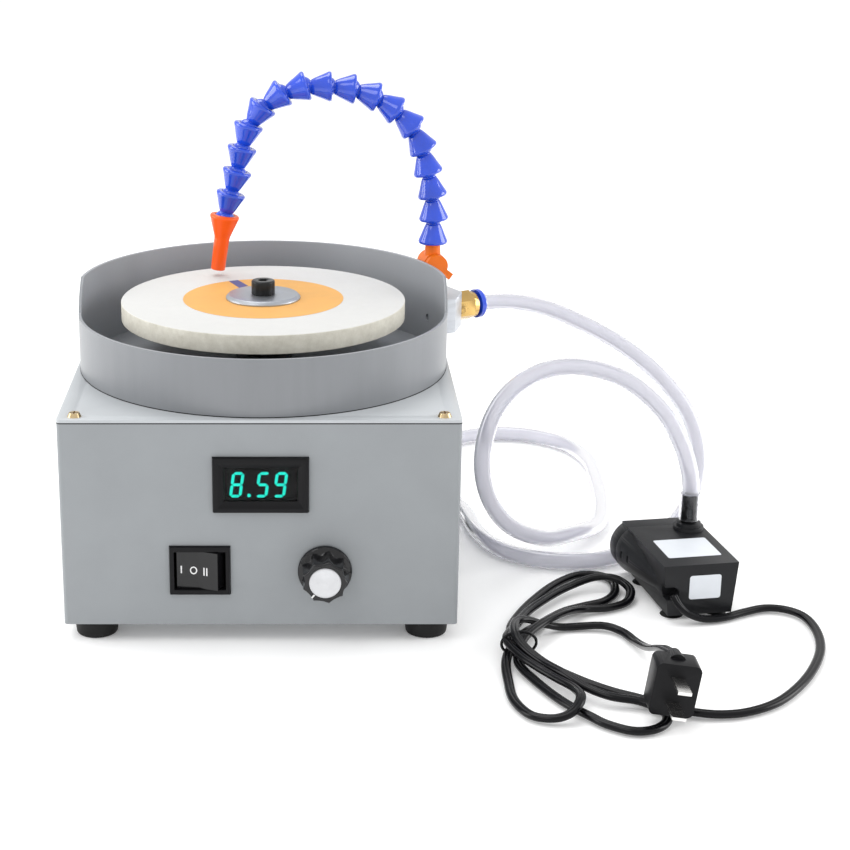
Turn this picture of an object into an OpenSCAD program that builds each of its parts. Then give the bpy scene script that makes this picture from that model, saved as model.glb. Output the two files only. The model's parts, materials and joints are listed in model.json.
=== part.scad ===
// Cabbing machine: a bench-top lapidary disc grinder with a drip basin,
// a ball-jointed coolant arm and a small submersible coolant pump.
// Units are millimetres. Origin: at table level, at the centre of the rectangle that holds
// the machine from above, without its coolant hose, pump, cable and plug.
// +X is right, +Y is towards the back, +Z is up. The control panel faces -Y.

/* [Case] */
// Width of the case
case_w = 200; // [200:1:206]
// Depth of the case
case_d = 204; // [202:1:210]
// Height of the case top above the table
case_top = 119; // [119:1:119]
// Thickness of the folded sheet
sheet = 1.5; // [1.2:0.1:1.8]
// Height of the rubber feet
foot_h = 10; // [8:1:10]
// Largest radius of a foot
foot_r = 11.8; // [10:0.2:12]

/* [Basin and disc] */
// Outer diameter of the basin
basin_od = 197.6; // [197.6:0.1:197.8]
// Height of the low front rim above the table
rim_front = 149; // [147:0.5:152]
// Height of the high rear rim above the table
rim_rear = 165; // [162:0.5:170]
// Diameter of the lapping disc
disc_d = 152; // [140:1:160]
// Thickness of the lapping disc
disc_t = 10; // [8:0.5:10]

/* [Front panel] */
// Width of the panel meter
meter_w = 48.3; // [46:0.1:50]
// Height of the panel meter
meter_h = 29.5; // [28:0.1:31]
// Width of the rocker switch bezel
switch_w = 31; // [30:0.1:33]
// Height of the rocker switch bezel
switch_h = 26.4; // [25.5:0.1:28]
// Diameter of the speed knob skirt
knob_d = 27.4; // [24:0.2:30]

/* [Coolant arm] */
// Distance from ball to ball along the arm
pitch = 13.1; // [13:0.05:13.2]
// Radius of the balls
ball_r = 5.8; // [5.6:0.05:5.9]
// Outer radius of the sockets
socket_r = 8.2; // [7.9:0.05:8.3]
// Length of the nozzle from its ball centre to its tip
nozzle_l = 28.5; // [26:0.5:29]

/* [Coolant supply] */
// Outer diameter of the coolant hose
hose_d = 9.5; // [9:0.1:10]
// Height of the pump top above the table
pump_top = 30.5; // [30:0.5:32]
// Width of the flat pump cable
cable_d = 5; // [4.5:0.1:5.2]

/* [Hidden] */

$fn = 48;
front = -case_d / 2;          // front face of the case
back = case_d / 2;            // rear face of the case
cover_z = case_top - sheet;   // underside of the cover plate
basin_r = basin_od / 2;
basin_wall = 1.5;
basin_floor = case_top + 2;   // top of the basin floor
disc_z = 145;                 // underside of the disc
disc_top = disc_z + disc_t;
foot_x = 85;
foot_y = 87;
cover_screw_x = 91.5;
cover_screw_y = 95.5;
motor_screw_r = 23;
meter_x = 0.5;
meter_z = 85.5;
switch_x = -30.4;
switch_z = 39.8;
rocker_y = -97;               // pivot line of the rocker
knob_x = 32.5;
knob_z = 39.5;
inlet_x = -45;
inlet_z = 45;
arm_angle = 29;               // direction of the manifold seen from above
arm_r = 107.4;                // distance of the valve from the spindle
fitting_z = 135;
arm_x = arm_r * cos(arm_angle);
arm_y = arm_r * sin(arm_angle);
ball_z = 176.5;                 // first ball of the arm
tap_z = 162;                  // height of the tap axis
tap_angle = -75;              // direction of the tap axis seen from above
clear = 0.3;
home = [-13.2, 0.6, 0];       // puts the origin under the middle of the machine

// Angle of each arm link from straight up, leaning towards -X
lean = [0, 5, 12, 15, 29, 47, 58, 72, 85, 91, 109, 127, 146, 164, 167, 164, 165];
nozzle_lean = 172;

function reach(i) = i == 0 ? 0 : reach(i - 1) + pitch * sin(lean[i - 1]);
function rise(i) = i == 0 ? 0 : rise(i - 1) + pitch * cos(lean[i - 1]);

// Pump placement
pump_x = 223.5;
pump_y = -38.8;
pump_turn = 9.5;
outlet_x = 11.4;
outlet_y = 16.9;
pump_base = 2.5;

// Route of the coolant hose, from the push fitting to the pump outlet
hose_path = [[124,69,135],[142,76.5,133.5],[162,82,128.5],[184,84,119],[208,82.5,106],[230,77,89],
  [247,69.5,67.5],[253,60,44.5],[248,49,24],[235,36,10.5],[214.5,16,5.5],[191.5,-1,5],
  [168.5,-5.5,5],[147,0.5,5],[131.5,16,5],[122.5,41,5],[118.5,70.5,5],[111,98,5],[105.5,128,5],
  [101,158.5,5],[109,193,5],[128.5,214,5],[151.5,222,5],[175,216.5,5],[195,198.5,5],[205,168.5,5],
  [205.5,136,5],[204,106,5],[200.5,76,5],[193,48,6],[178,26,10],[157.5,7,14],[137,-4.5,25.5],
  [124.5,-9.5,42.5],[119.5,-8.5,63.5],[123.5,-3,85.5],[135.5,4.5,102],[154.5,11,111.5],
  [177,12.5,112.5],[200,10,105.5],[218.5,0,91],[227.5,-10,75.5],[231,-16.5,63.5],[231.9,-19.4,56.5],[232,-20.2,50.3]];

// Route of the pump cable, from the pump to the top of the plug
cable_path = [[214.4,-75.8,15],[217.4,-78.3,10],[222,-79.6,6],[230,-79.5,3],[241,-77,2.5],
  [253.5,-70,2.5],[266,-64.5,2.5],[277,-67,2.5],[284,-76.5,2.5],[285.5,-94.5,2.5],[282,-115,2.5],
  [273.5,-136,2.5],[261.5,-156.5,2.5],[246.5,-174.5,2.5],[231,-184.5,2.5],[217,-187.5,2.5],
  [204,-185,2.5],[193,-179.5,2.5],[182,-171,2.5],[170,-163.5,2.5],[159,-154,2.5],[149,-143,2.5],
  [139.5,-131.5,2.5],[133,-119.5,2.5],[129,-106.5,2.5],[128.5,-90.5,2.5],[135.5,-71.5,2.5],
  [146,-51.5,2.5],[159,-32,2.5],[172.5,-19.5,2.5],[183.5,-19,2.5],[190.5,-27,2.5],[189.5,-44,2.5],
  [182,-55.5,2.5],[170,-62,2.5],[157.5,-72,3.5],[143,-86.5,2.5],[132.5,-108,7],[125,-121.5,5],
  [121.5,-135.5,4],[121,-152,2.5],[121.5,-172,2.5],[127,-187,2.5],[134.5,-192.5,3],[142,-193,4],
  [148,-189.5,6],[152,-180.5,8],[150.5,-169,7],[143,-156.5,6.5],[135.5,-145.5,7],[128.5,-134,8],
  [123.5,-118.5,9.5],[130.5,-96,6.5],[139,-75,5],[151,-57.5,5],[164,-42.5,5],[179,-34,7],
  [189.5,-35,7.5],[195.5,-40,6],[197.5,-47.5,4.5],[193.5,-57,2.5],[182,-64.5,2.5],[168.5,-69.5,4],
  [156.5,-83,8],[143,-101,10],[132.5,-115.5,8.5],[128.5,-127,4.5],[128.5,-136.5,3],
  [134,-151.5,2.5],[140.5,-166.5,2.5],[147.5,-179,2.5],[155.5,-189.5,2.5],[162,-197.5,2.5],
  [172.5,-204,2.5],[182,-203,2.5],[189,-196.5,2.5],[191,-189,3],[188,-182,3],[180,-176.5,4],
  [167.5,-174,5],[157,-166.5,6],[148,-156,8],[138.5,-141.5,8],[131,-130.5,10.5],[127.5,-120.5,13],
  [129.5,-103.5,12],[136,-96,10],[145,-93,6],[156,-89,2.5],[175.5,-88,3],[185,-94,2.5],
  [189.5,-106,3],[191,-121,7],[191.5,-137,13],[192,-152,20],[192.5,-167,26.5],[194,-181,30.5]];

module case() {
  color([0.62, 0.64, 0.66]) difference() {
    translate([0, 0, foot_h]) linear_extrude(cover_z - foot_h) plate_shape(case_w, case_d, 2);
    translate([0, 0, foot_h + sheet]) linear_extrude(cover_z - foot_h - 2 * sheet)
      plate_shape(case_w - 2 * sheet, case_d - 2 * sheet, 0.5);
    translate([-76, -78, foot_h - 1]) cube([152, 156, 4]);
    translate([-88, -90, cover_z - 3]) cube([176, 180, 4]);
    translate([meter_x - 22.7, front - 1, meter_z - 13.2]) cube([45.4, 4, 26.4]);
    translate([switch_x - 14.1, front - 1, switch_z - 11.6]) cube([28.2, 4, 23.2]);
    translate([knob_x, front - 1, knob_z]) rotate([-90, 0, 0]) cylinder(r = 3.6, h = 4);
    translate([inlet_x - 14.2, back - 3, inlet_z - 10.2]) cube([28.4, 4, 20.4]);
    for (s = [-1, 1]) translate([inlet_x + 20 * s, back - 3, inlet_z])
      rotate([-90, 0, 0]) cylinder(r = 1.6, h = 4);
    corners(cover_screw_x, cover_screw_y) translate([0, 0, cover_z - 3]) cylinder(r = 1.6, h = 4);
    corners(foot_x, foot_y) translate([0, 0, foot_h - 1]) cylinder(r = 2, h = 4);
  }
}

module base_plate() {
  color([0.6, 0.61, 0.62]) difference() {
    translate([-97.5, -99.5, foot_h + sheet]) cube([195, 199, sheet]);
    corners(foot_x, foot_y) translate([0, 0, foot_h]) cylinder(r = 2, h = 5);
    for (x = [-38, 38]) for (y = [45, 85]) translate([x, y, foot_h])
      cylinder(r = 1.6, h = 5);
  }
}

module feet() {
  color([0.08, 0.08, 0.08]) corners(foot_x, foot_y) difference() {
    cylinder(r1 = foot_r - 1.3, r2 = foot_r, h = foot_h);
    translate([0, 0, -1]) cylinder(r = 5, h = 5);
    translate([0, 0, 3]) cylinder(r = 2, h = foot_h);
  }
}

module foot_screws() {
  color([0.7, 0.7, 0.72]) corners(foot_x, foot_y) {
    translate([0, 0, 1.5]) cylinder(r = 3.8, h = 2.5);
    translate([0, 0, 2]) cylinder(r = 2, h = foot_h + 6);
    translate([0, 0, foot_h + 2 * sheet]) cylinder(r = 4, h = 3, $fn = 6);
  }
}

module cover() {
  color([0.78, 0.8, 0.8]) difference() {
    translate([0, 0, cover_z]) linear_extrude(sheet) plate_shape(case_w, case_d, 2);
    translate([0, 0, cover_z - 1]) cylinder(r = 12, h = sheet + 2);
    motor_holes() translate([0, 0, cover_z - 1]) cylinder(r = 2.5, h = sheet + 2);
    corners(cover_screw_x, cover_screw_y) translate([0, 0, cover_z - 1]) cylinder(r = 1.6, h = 4);
  }
}

module cover_screws() {
  color([0.75, 0.6, 0.3]) corners(cover_screw_x, cover_screw_y) difference() {
    union() {
      translate([0, 0, case_top]) cylinder(r1 = 3.5, r2 = 2.6, h = 2);
      translate([0, 0, case_top - 7]) cylinder(r = 1.6, h = 8);
    }
    translate([-2.2, -0.4, case_top + 1]) cube([4.4, 0.8, 2]);
    translate([-0.4, -2.2, case_top + 1]) cube([0.8, 4.4, 2]);
  }
}

module basin() {
  color([0.6, 0.62, 0.64]) difference() {
    union() {
      difference() {
        translate([0, 0, case_top]) cylinder(r = basin_r, h = rim_rear - case_top, $fn = 128);
        translate([0, 0, basin_floor])
          cylinder(r = basin_r - basin_wall, h = 60, $fn = 128);
        rotate([90, 0, 90]) translate([0, 0, -120]) linear_extrude(240)
          polygon([[-120, rim_front], [-8, rim_front], [rim_rear - rim_front - 8, rim_rear],
            [rim_rear - rim_front - 8, 200], [-120, 200]]);
      }
      translate([0, basin_r - 1, case_top + 7]) rotate([-90, 0, 0]) cylinder(r = 6, h = 20);
    }
    translate([0, basin_r - 4, case_top + 7]) rotate([-90, 0, 0]) cylinder(r = 4.5, h = 30);
    translate([0, 0, case_top - 1]) cylinder(r = 12, h = 5);
    motor_holes() translate([0, 0, case_top - 1]) cylinder(r = 2.5, h = 5);
    block_screw_lines() cylinder(r = 2, h = 20);
  }
}

module spindle_seal() {
  color([0.1, 0.1, 0.1]) difference() {
    union() {
      translate([0, 0, cover_z]) cylinder(r = 12, h = 4);
      translate([0, 0, basin_floor]) cylinder(r = 15, h = 3);
    }
    translate([0, 0, cover_z - 1]) cylinder(r = 4.05, h = 10);
  }
}

module meter_housing() {
  color([0.07, 0.07, 0.07]) translate([meter_x, front, meter_z]) difference() {
    union() {
      frustum(meter_w, meter_h, meter_w - 1.2, meter_h - 1.2, 2.5);
      translate([-22.5, 0, -13]) cube([45, 14, 26]);
    }
    translate([0, -0.5, 0]) frustum(36.7, 17.5, 43.5, 24.3, 2.1);
    translate([-18.35, -1, -8.75]) cube([36.7, 3, 17.5]);
    translate([-20.5, 1.5, -11]) cube([41, 15, 22]);
  }
}

module meter_lens() {
  color([0.2, 0.2, 0.2, 0.6]) translate([meter_x - 18.35, front - 0.4, meter_z - 8.75])
    cube([36.7, 1.2, 17.5]);
}

module meter_board() {
  color([0.1, 0.4, 0.25]) translate([meter_x, front, meter_z]) {
    translate([-20.5, 10, -11]) cube([41, 1.6, 22]);
    translate([-17, 2.6, -8]) cube([34, 7.4, 16]);
    translate([-9, 11.6, -8]) cube([18, 4, 6]);
    translate([-14, 11.6, 2]) cube([12, 3, 7]);
  }
}

module switch_body() {
  color([0.06, 0.06, 0.06]) translate([switch_x, front, switch_z]) {
    difference() {
      union() {
        frustum(switch_w, switch_h, switch_w - 1, switch_h - 1, 2);
        translate([-14, 0, -11.5]) cube([28, 22, 23]);
      }
      translate([-13, -3, -10.3]) cube([26, 21, 20.6]);
      translate([0, rocker_y - front, -12]) cylinder(r = 1.8, h = 24);
    }
    for (x = [-7, 0, 7]) translate([x - 0.4, 22, -3.15]) cube([0.8, 8, 6.3]);
  }
}

module switch_rocker() {
  color([0.08, 0.08, 0.08]) translate([switch_x, rocker_y, switch_z]) rotate([0, 0, -12]) {
    translate([0, 0, -10]) linear_extrude(20)
      polygon([[-12.5, 0], [-10.6, -6.6], [0, -5.2], [10.6, -6.6], [12.5, 0], [3, 4], [-3, 4]]);
    translate([0, 0, -11.2]) cylinder(r = 1.5, h = 22.4);
  }
}

module speed_knob() {
  color([0.08, 0.08, 0.08]) translate([knob_x, front, knob_z]) rotate([90, 0, 0]) difference() {
    union() {
      translate([0, 0, 0.6]) cylinder(r1 = knob_d / 2, r2 = knob_d / 2 - 0.7, h = 2.4);
      translate([0, 0, 3]) cylinder(r1 = 12, r2 = 11.3, h = 13.4);
    }
    for (i = [0:8]) rotate([0, 0, 40 * i]) translate([14.2, 0, 3]) cylinder(r = 4, h = 14);
    translate([0, 0, 15.8]) cylinder(r = 8, h = 1);
    translate([0, 0, 0]) cylinder(r = 7, h = 4.6);
    cylinder(r = 3, h = 14);
    rotate([0, 0, 140]) translate([-0.5, 8.6, 16]) cube([1, 4, 1]);
  }
}

module knob_cap() {
  color([0.8, 0.8, 0.82]) translate([knob_x, front - 15.8, knob_z]) rotate([90, 0, 0])
    cylinder(r1 = 8, r2 = 7.8, h = 1.2);
}

module potentiometer() {
  color([0.6, 0.6, 0.62]) translate([knob_x, front, knob_z]) rotate([90, 0, 0]) difference() {
    union() {
      translate([0, 0, -11]) cylinder(r = 8.5, h = 9.5);
      translate([0, 0, -2]) cylinder(r = 3.5, h = 6);
      cylinder(r = 5.5, h = 2, $fn = 6);
      translate([-6, -15, -8]) cube([12, 8, 1.5]);
    }
    translate([0, 0, -9]) cylinder(r = 3.05, h = 20);
  }
}

module pot_shaft() {
  color([0.7, 0.7, 0.72]) translate([knob_x, front, knob_z]) rotate([90, 0, 0])
    translate([0, 0, -8.5]) cylinder(r = 3, h = 22.5);
}

module motor_can() {
  color([0.35, 0.36, 0.38]) difference() {
    union() {
      difference() {
        translate([0, 0, 46]) cylinder(r = 30, h = cover_z - 46, $fn = 64);
        translate([0, 0, 45]) cylinder(r = 27.5, h = cover_z - 50.5, $fn = 64);
      }
      translate([0, 0, cover_z - 12.5]) cylinder(r = 14, h = 8);
    }
    translate([0, 0, cover_z - 13.5]) cylinder(r = 11, h = 8);
    translate([0, 0, cover_z - 6]) cylinder(r = 5, h = 8);
    motor_holes() translate([0, 0, cover_z - 6]) cylinder(r = 2.5, h = 8);
  }
}

module motor_end_cap() {
  color([0.7, 0.71, 0.72]) difference() {
    union() {
      translate([0, 0, 38]) cylinder(r = 30, h = 8, $fn = 64);
      translate([0, 0, 46]) cylinder(r = 27.5, h = 3, $fn = 64);
    }
    translate([0, 0, 40]) cylinder(r = 11, h = 8);
    translate([0, 0, 46]) cylinder(r = 24, h = 4, $fn = 64);
  }
}

module motor_rotor() {
  color([0.45, 0.43, 0.42]) difference() {
    union() {
      translate([0, 0, 60]) cylinder(r = 24, h = 36);
      translate([0, 0, 49]) cylinder(r = 9, h = 50);
    }
    translate([0, 0, 48]) cylinder(r = 4, h = 52);
    for (i = [0:11]) rotate([0, 0, 30 * i]) translate([17, -1, 59]) cube([8, 2, 38]);
  }
}

module motor_shaft() {
  color([0.75, 0.75, 0.77]) translate([0, 0, 41]) cylinder(r = 4, h = 95);
}

module motor_bearings() {
  color([0.8, 0.8, 0.82]) for (z = [40, cover_z - 12.5]) difference() {
    translate([0, 0, z]) cylinder(r = 11, h = 7);
    translate([0, 0, z - 1]) cylinder(r = 4.03, h = 9);
  }
}

module motor_screws() {
  color([0.7, 0.7, 0.72]) motor_holes() difference() {
    union() {
      translate([0, 0, basin_floor]) cylinder(r = 4.2, h = 3);
      translate([0, 0, cover_z - 5]) cylinder(r = 2.5, h = 9);
    }
    translate([0, 0, basin_floor + 1]) cylinder(r = 2.1, h = 3, $fn = 6);
  }
}

module arbor_hub() {
  color([0.7, 0.71, 0.72]) difference() {
    union() {
      translate([0, 0, 126]) cylinder(r = 11, h = disc_z - 126);
      translate([0, 0, disc_z - 5]) cylinder(r = 27, h = 5);
      translate([0, 0, disc_z]) cylinder(r = 6.35, h = disc_t - 1);
    }
    translate([0, 0, 125]) cylinder(r = 4, h = 11);
    translate([0, 0, 135]) cylinder(r = 3, h = 30);
  }
}

module lap_disc() {
  color([0.93, 0.93, 0.91]) difference() {
    translate([0, 0, disc_z]) cylinder(r = disc_d / 2, h = disc_t, $fn = 128);
    translate([0, 0, disc_z - 1]) cylinder(r = 6.4, h = disc_t + 2);
  }
}

module clamp_flange() {
  color([0.75, 0.76, 0.77]) difference() {
    union() {
      translate([0, 0, disc_top]) cylinder(r = 20, h = 1);
      translate([0, 0, disc_top + 1]) cylinder(r1 = 20, r2 = 18.5, h = 1.5);
    }
    translate([0, 0, disc_top - 1]) cylinder(r = 3.2, h = 5);
  }
}

module clamp_screw() {
  color([0.06, 0.06, 0.06]) difference() {
    union() {
      translate([0, 0, disc_top + 2.5]) cylinder(r = 6.3, h = 6.9);
      translate([0, 0, disc_top + 9.4]) cylinder(r1 = 6.3, r2 = 5.7, h = 0.6);
      translate([0, 0, 139]) cylinder(r = 3, h = disc_top - 136);
    }
    translate([0, 0, disc_top + 6]) cylinder(r = 2.9, h = 5, $fn = 6);
  }
}

module control_board() {
  color([0.1, 0.35, 0.2]) {
    translate([-45, 40, 21]) cube([90, 50, 1.6]);
    for (x = [-38, 38]) for (y = [45, 85]) translate([x, y, foot_h + 2 * sheet])
      cylinder(r = 3, h = 8);
    for (x = [12, 32]) translate([x, 60, 22.6]) cylinder(r = 8, h = 25);
    translate([-40, 44, 22.6]) cube([36, 12, 22]);
    translate([-10, 76, 22.6]) cube([40, 10, 10]);
    translate([-38, 62, 22.6]) cube([18, 15, 10]);
  }
}

module mains_inlet() {
  color([0.07, 0.07, 0.07]) translate([inlet_x, back, inlet_z]) {
    difference() {
      union() {
        translate([-25, 0, -12]) cube([50, 3, 24]);
        translate([-14, -18, -10]) cube([28, 18, 20]);
      }
      translate([-12.2, -14, -8.2]) cube([24.4, 20, 16.4]);
      for (s = [-1, 1]) translate([20 * s, -1, 0]) rotate([-90, 0, 0]) cylinder(r = 1.6, h = 6);
    }
    for (x = [-7, 0, 7]) translate([x - 1, -14, x == 0 ? 0 : -4]) cube([2, 12, 4]);
    for (s = [-1, 1]) translate([20 * s, 0, 0]) rotate([-90, 0, 0]) {
      translate([0, 0, 3]) cylinder(r1 = 3, r2 = 2.2, h = 1.6);
      translate([0, 0, -6]) cylinder(r = 1.6, h = 10);
    }
  }
}

module manifold_block() {
  color([0.7, 0.71, 0.73]) {
    difference() {
      rotate([0, 0, arm_angle]) translate([0, 0, 126]) linear_extrude(19.5)
        polygon([[90, -20], [110.5, -20], [122.5, -8], [122.5, 8], [110.5, 20], [90, 20]]);
      translate([0, 0, 120]) cylinder(r = basin_r, h = 30, $fn = 128);
      on_arm(100, fitting_z) cylinder(r = 3, h = 30);
      on_arm(116, fitting_z) cylinder(r = 5, h = 30);
      translate([arm_x, arm_y, fitting_z]) cylinder(r = 3, h = 20);
      translate([arm_x, arm_y, 138]) cylinder(r = 5, h = 20);
      block_screw_lines() cylinder(r = 2, h = 20);
    }
    block_screw_lines() {
      translate([0, 0, 2.6]) cylinder(r = 2, h = 15);
    }
  }
}

module push_fitting() {
  color([0.78, 0.6, 0.28]) on_arm(116, fitting_z) difference() {
    union() {
      cylinder(r = 5, h = 8);
      translate([0, 0, 6.5]) cylinder(r = 8.66, h = 10, $fn = 6);
      translate([0, 0, 16]) cylinder(r = 7.4, h = 3.5);
    }
    translate([0, 0, -1]) cylinder(r = 3, h = 25);
    translate([0, 0, 11]) cylinder(r = 4.9, h = 10);
    translate([0, 0, 14]) cylinder(r = 6, h = 10);
  }
}

module fitting_collet() {
  color([0.05, 0.2, 0.8]) on_arm(130.5, fitting_z) difference() {
    union() {
      cylinder(r = 5.7, h = 8);
      translate([0, 0, 6.5]) cylinder(r = 8.2, h = 2.5);
      translate([0, 0, 9]) cylinder(r1 = 8.2, r2 = 7.4, h = 1);
    }
    translate([0, 0, -1]) cylinder(r = 5, h = 20);
  }
}

module valve_body() {
  color([1, 0.36, 0.1]) translate([arm_x, arm_y, 0]) difference() {
    union() {
      translate([0, 0, 138]) cylinder(r = 5, h = 9);
      translate([0, 0, 145.5]) cylinder(r = 7.6, h = 5, $fn = 6);
      translate([0, 0, 150]) cylinder(r = 4.9, h = 12);
      translate([0, 0, tap_z]) cylinder(r1 = 4.9, r2 = 4.2, h = ball_z - 4 - tap_z);
      translate([0, 0, ball_z - 5]) cylinder(r = 3.7, h = 5);
      translate([0, 0, ball_z]) sphere(r = ball_r);
      translate([0, 0, tap_z]) rotate([0, 90, tap_angle]) translate([0, 0, -7.5])
        cylinder(r = 6.6, h = 12.2);
    }
    translate([0, 0, 137]) cylinder(r = 2.8, h = 50);
    translate([0, 0, tap_z]) rotate([0, 90, tap_angle]) cylinder(r = 2.5, h = 12);
  }
}

module valve_handle() {
  color([1, 0.36, 0.1]) translate([arm_x, arm_y, tap_z]) rotate([0, 90, tap_angle]) {
    translate([0, 0, 1]) cylinder(r = 2.45, h = 5);
    translate([0, 0, 5]) cylinder(r = 6.3, h = 3.6);
    rotate([0, 0, 52]) translate([2, -2, 5]) cube([8.6, 4, 3.6]);
  }
}

module hose_link(i) {
  color([0.1, 0.15, 0.75]) at_ball(i - 1, lean[i - 1]) difference() {
    union() {
      rotate_extrude($fn = 32) polygon([[0, -3], [socket_r - 0.45, -3], [socket_r, -2],
        [socket_r, -0.4], [5.3, 6.1], [4.4, 7.4], [4.2, 8.1], [3.7, 8.4], [3.7, pitch], [0, pitch]]);
      translate([0, 0, pitch]) sphere(r = ball_r, $fn = 32);
    }
    sphere(r = ball_r + clear, $fn = 32);
    translate([0, 0, -4]) cylinder(r = 2.8, h = 30, $fn = 32);
  }
}

module nozzle() {
  color([1, 0.36, 0.1]) at_ball(17, nozzle_lean) difference() {
    rotate_extrude($fn = 32) polygon([[0, -3], [socket_r - 0.45, -3], [socket_r, -2],
      [socket_r, -0.4], [4.7, 9], [4.3, 10.5], [3.9, nozzle_l], [0, nozzle_l]]);
    sphere(r = ball_r + clear, $fn = 32);
    translate([0, 0, -4]) cylinder(r = 2.3, h = 50, $fn = 32);
  }
}

module coolant_hose() {
  color([0.85, 0.85, 0.9, 0.6]) tube(hose_path, hose_d / 2);
}

module pump_body() {
  color([0.07, 0.07, 0.07]) at_pump() difference() {
    union() {
      along_y(-34, 24) pump_section(false);
      intersection() {
        translate([-12.1, 24, 17]) rotate([90, 0, 0]) cylinder(r1 = 14.7, r2 = 5, h = 58);
        translate([-30, -34, pump_base]) cube([18, 58, pump_top - pump_base]);
      }
      translate([outlet_x, outlet_y, pump_top - 1]) cylinder(r = 8.2, h = 3);
      translate([outlet_x, outlet_y, pump_top + 1]) cylinder(r = 6.6, h = 3);
      translate([outlet_x, outlet_y, pump_top + 3]) cylinder(r = 4.2, h = 16.5);
    }
    translate([2, 12, 17.5]) rotate([-90, 0, 0]) cylinder(r = 10, h = 13);
    translate([2, -4, 17.5]) rotate([-90, 0, 0]) cylinder(r = 6, h = 18);
    translate([outlet_x, outlet_y, 17.5]) cylinder(r = 2.6, h = 40);
    translate([-15, -35, 15]) rotate([-90, 0, 0]) cylinder(r = 3.6, h = 8);
    translate([-22, -35, 11.4]) cube([7, 7, 7.2]);
    for (x = [-12, 12]) for (y = [-26, 18]) translate([x, y, 2]) cylinder(r = 2.5, h = 2.5);
    for (y = [10, 17]) translate([-30, y, 15]) cube([6, 1.6, 4]);
  }
}

module pump_cover() {
  color([0.07, 0.07, 0.07]) at_pump() difference() {
    along_y(24, 34) pump_section(true);
    translate([-15, 23, 7]) cube([30, 8.5, 20]);
    for (x = [-11:5.5:11]) translate([x - 1, 30, 9]) cube([2, 6, 16]);
  }
}

module pump_impeller() {
  color([0.85, 0.85, 0.86]) at_pump() translate([2, 0, 17.5]) rotate([-90, 0, 0]) {
    translate([0, 0, -3]) cylinder(r = 5.6, h = 16.5);
    translate([0, 0, 13]) cylinder(r = 8.6, h = 1.2);
    for (i = [0:5]) rotate([0, 0, 60 * i]) translate([0, -0.6, 14]) cube([8.6, 1.2, 6]);
  }
}

module suction_cups() {
  color([0.05, 0.05, 0.05]) at_pump() for (x = [-12, 12]) for (y = [-26, 18])
    translate([x, y, 0]) difference() {
      union() {
        cylinder(r1 = 6, r2 = 3.2, h = 2.2);
        cylinder(r = 2.5, h = 4.5);
      }
      translate([0, 0, -0.5]) cylinder(r1 = 5, r2 = 1, h = 1.9);
    }
}

module pump_cable() {
  color([0.05, 0.05, 0.05]) tube(cable_path, cable_d / 2);
}

module plug() {
  color([0.05, 0.05, 0.05]) at_plug() difference() {
    union() {
      translate([0, -7, 0]) rotate([-90, 0, 0]) linear_extrude(14) plate_shape(21, 26, 3);
      translate([0, 0, 11]) rotate([-90, 0, 0]) cylinder(r1 = 4.2, r2 = 3.2, h = 9.7);
    }
    for (z = [-6.35, 6.35]) translate([-3.175, -8, z - 0.75]) cube([6.35, 9, 1.5]);
  }
}

module plug_blades() {
  color([0.8, 0.8, 0.82]) at_plug() for (z = [-6.35, 6.35])
    translate([-3.175, -23, z - 0.75]) cube([6.35, 24, 1.5]);
}

// Helpers

module plate_shape(w, d, r) {
  square([w - 2 * r, d], center = true);
  square([w, d - 2 * r], center = true);
  for (x = [-1, 1]) for (y = [-1, 1]) translate([x * (w / 2 - r), y * (d / 2 - r)])
    circle(r = r, $fn = 32);
}

// Rectangular frustum: w1 x h1 at y = 0, w2 x h2 at y = -t
module frustum(w1, h1, w2, h2, t) {
  intersection() {
    translate([0, 0, -h1 - h2]) linear_extrude(2 * (h1 + h2))
      polygon([[-w1 / 2, 0], [w1 / 2, 0], [w2 / 2, -t], [-w2 / 2, -t]]);
    rotate([90, 0, 90]) translate([0, 0, -w1 - w2]) linear_extrude(2 * (w1 + w2))
      polygon([[0, -h1 / 2], [0, h1 / 2], [-t, h2 / 2], [-t, -h2 / 2]]);
  }
}

module corners(x, y) {
  for (sx = [-1, 1]) for (sy = [-1, 1]) translate([sx * x, sy * y, 0]) children();
}

module motor_holes() {
  for (a = [45:90:315]) rotate([0, 0, a]) translate([motor_screw_r, 0, 0]) children();
}

module on_arm(r, z) {
  rotate([0, 0, arm_angle]) translate([r, 0, z]) rotate([0, 90, 0]) children();
}

module block_screw_lines() {
  for (s = [-13, 13]) rotate([0, 0, arm_angle]) translate([95, s, fitting_z])
    rotate([0, 90, 0]) children();
}

module at_ball(i, a) {
  translate([arm_x - reach(i), arm_y, ball_z + rise(i)]) rotate([0, -a, 0]) children();
}

module at_pump() {
  translate([pump_x, pump_y, 0]) rotate([0, 0, pump_turn]) children();
}

module along_y(y0, y1) {
  translate([0, y1, 0]) rotate([90, 0, 0]) linear_extrude(y1 - y0) children();
}

module pump_section(bulged) {
  polygon([[-17, pump_base], [18, pump_base], [20.5, pump_top], [-20.5, pump_top]]);
  if (bulged) intersection() {
    translate([-12.1, 17]) circle(r = 14.7);
    translate([-30, pump_base]) square([18, pump_top - pump_base]);
  }
}

module at_home() {
  translate(home) children();
}

module at_plug() {
  translate([192.4, -190.7, 19.5]) rotate([0, 8, 0]) children();
}

function unit(v) = v / norm(v);
function along(p, i) = unit(p[min(i + 1, len(p) - 1)] - p[max(i - 1, 0)]);
function sides(p, u, i = 0) = i >= len(p) ? [] :
  let (t = along(p, i), w = unit(u - (u * t) * t)) concat([w], sides(p, w, i + 1));

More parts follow.
